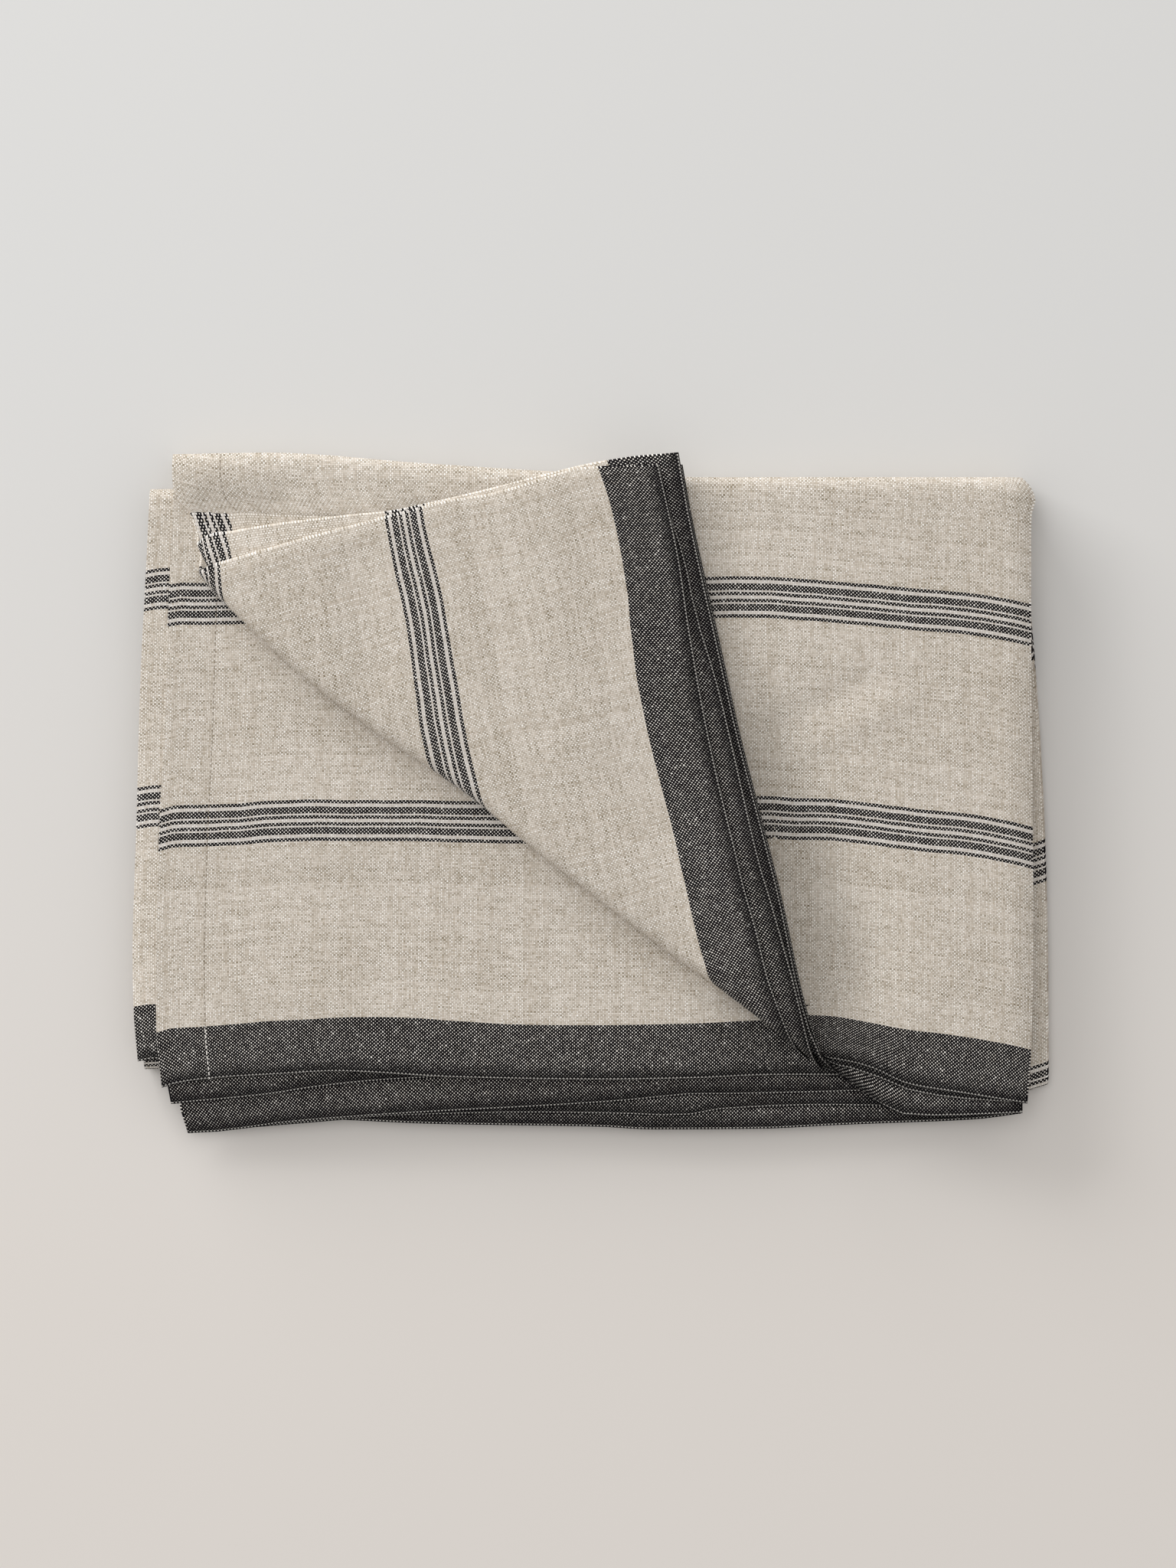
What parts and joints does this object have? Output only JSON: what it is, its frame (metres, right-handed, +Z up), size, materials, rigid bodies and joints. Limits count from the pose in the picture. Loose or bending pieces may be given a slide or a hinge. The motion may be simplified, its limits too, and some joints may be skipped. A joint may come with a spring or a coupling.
{
  "type": "folded tablecloth",
  "caption": "Natural linen tablecloth with dark stripes, folded into a flat stack of layers with one corner of the upper layers turned over.",
  "frame": {"origin": "under the middle of the folded outline, at the underside of the lowest layer", "axes": "+X along the long side of the stack, +Y towards the back fold, +Z up"},
  "size_m": [0.596, 0.449, 0.0394],
  "materials": {
    "linen": "coarse plain-weave natural linen with near-black stripes, matt"
  },
  "bodies": {
    "root": {"tablecloth": "linen"}
  },
  "joints": []
}
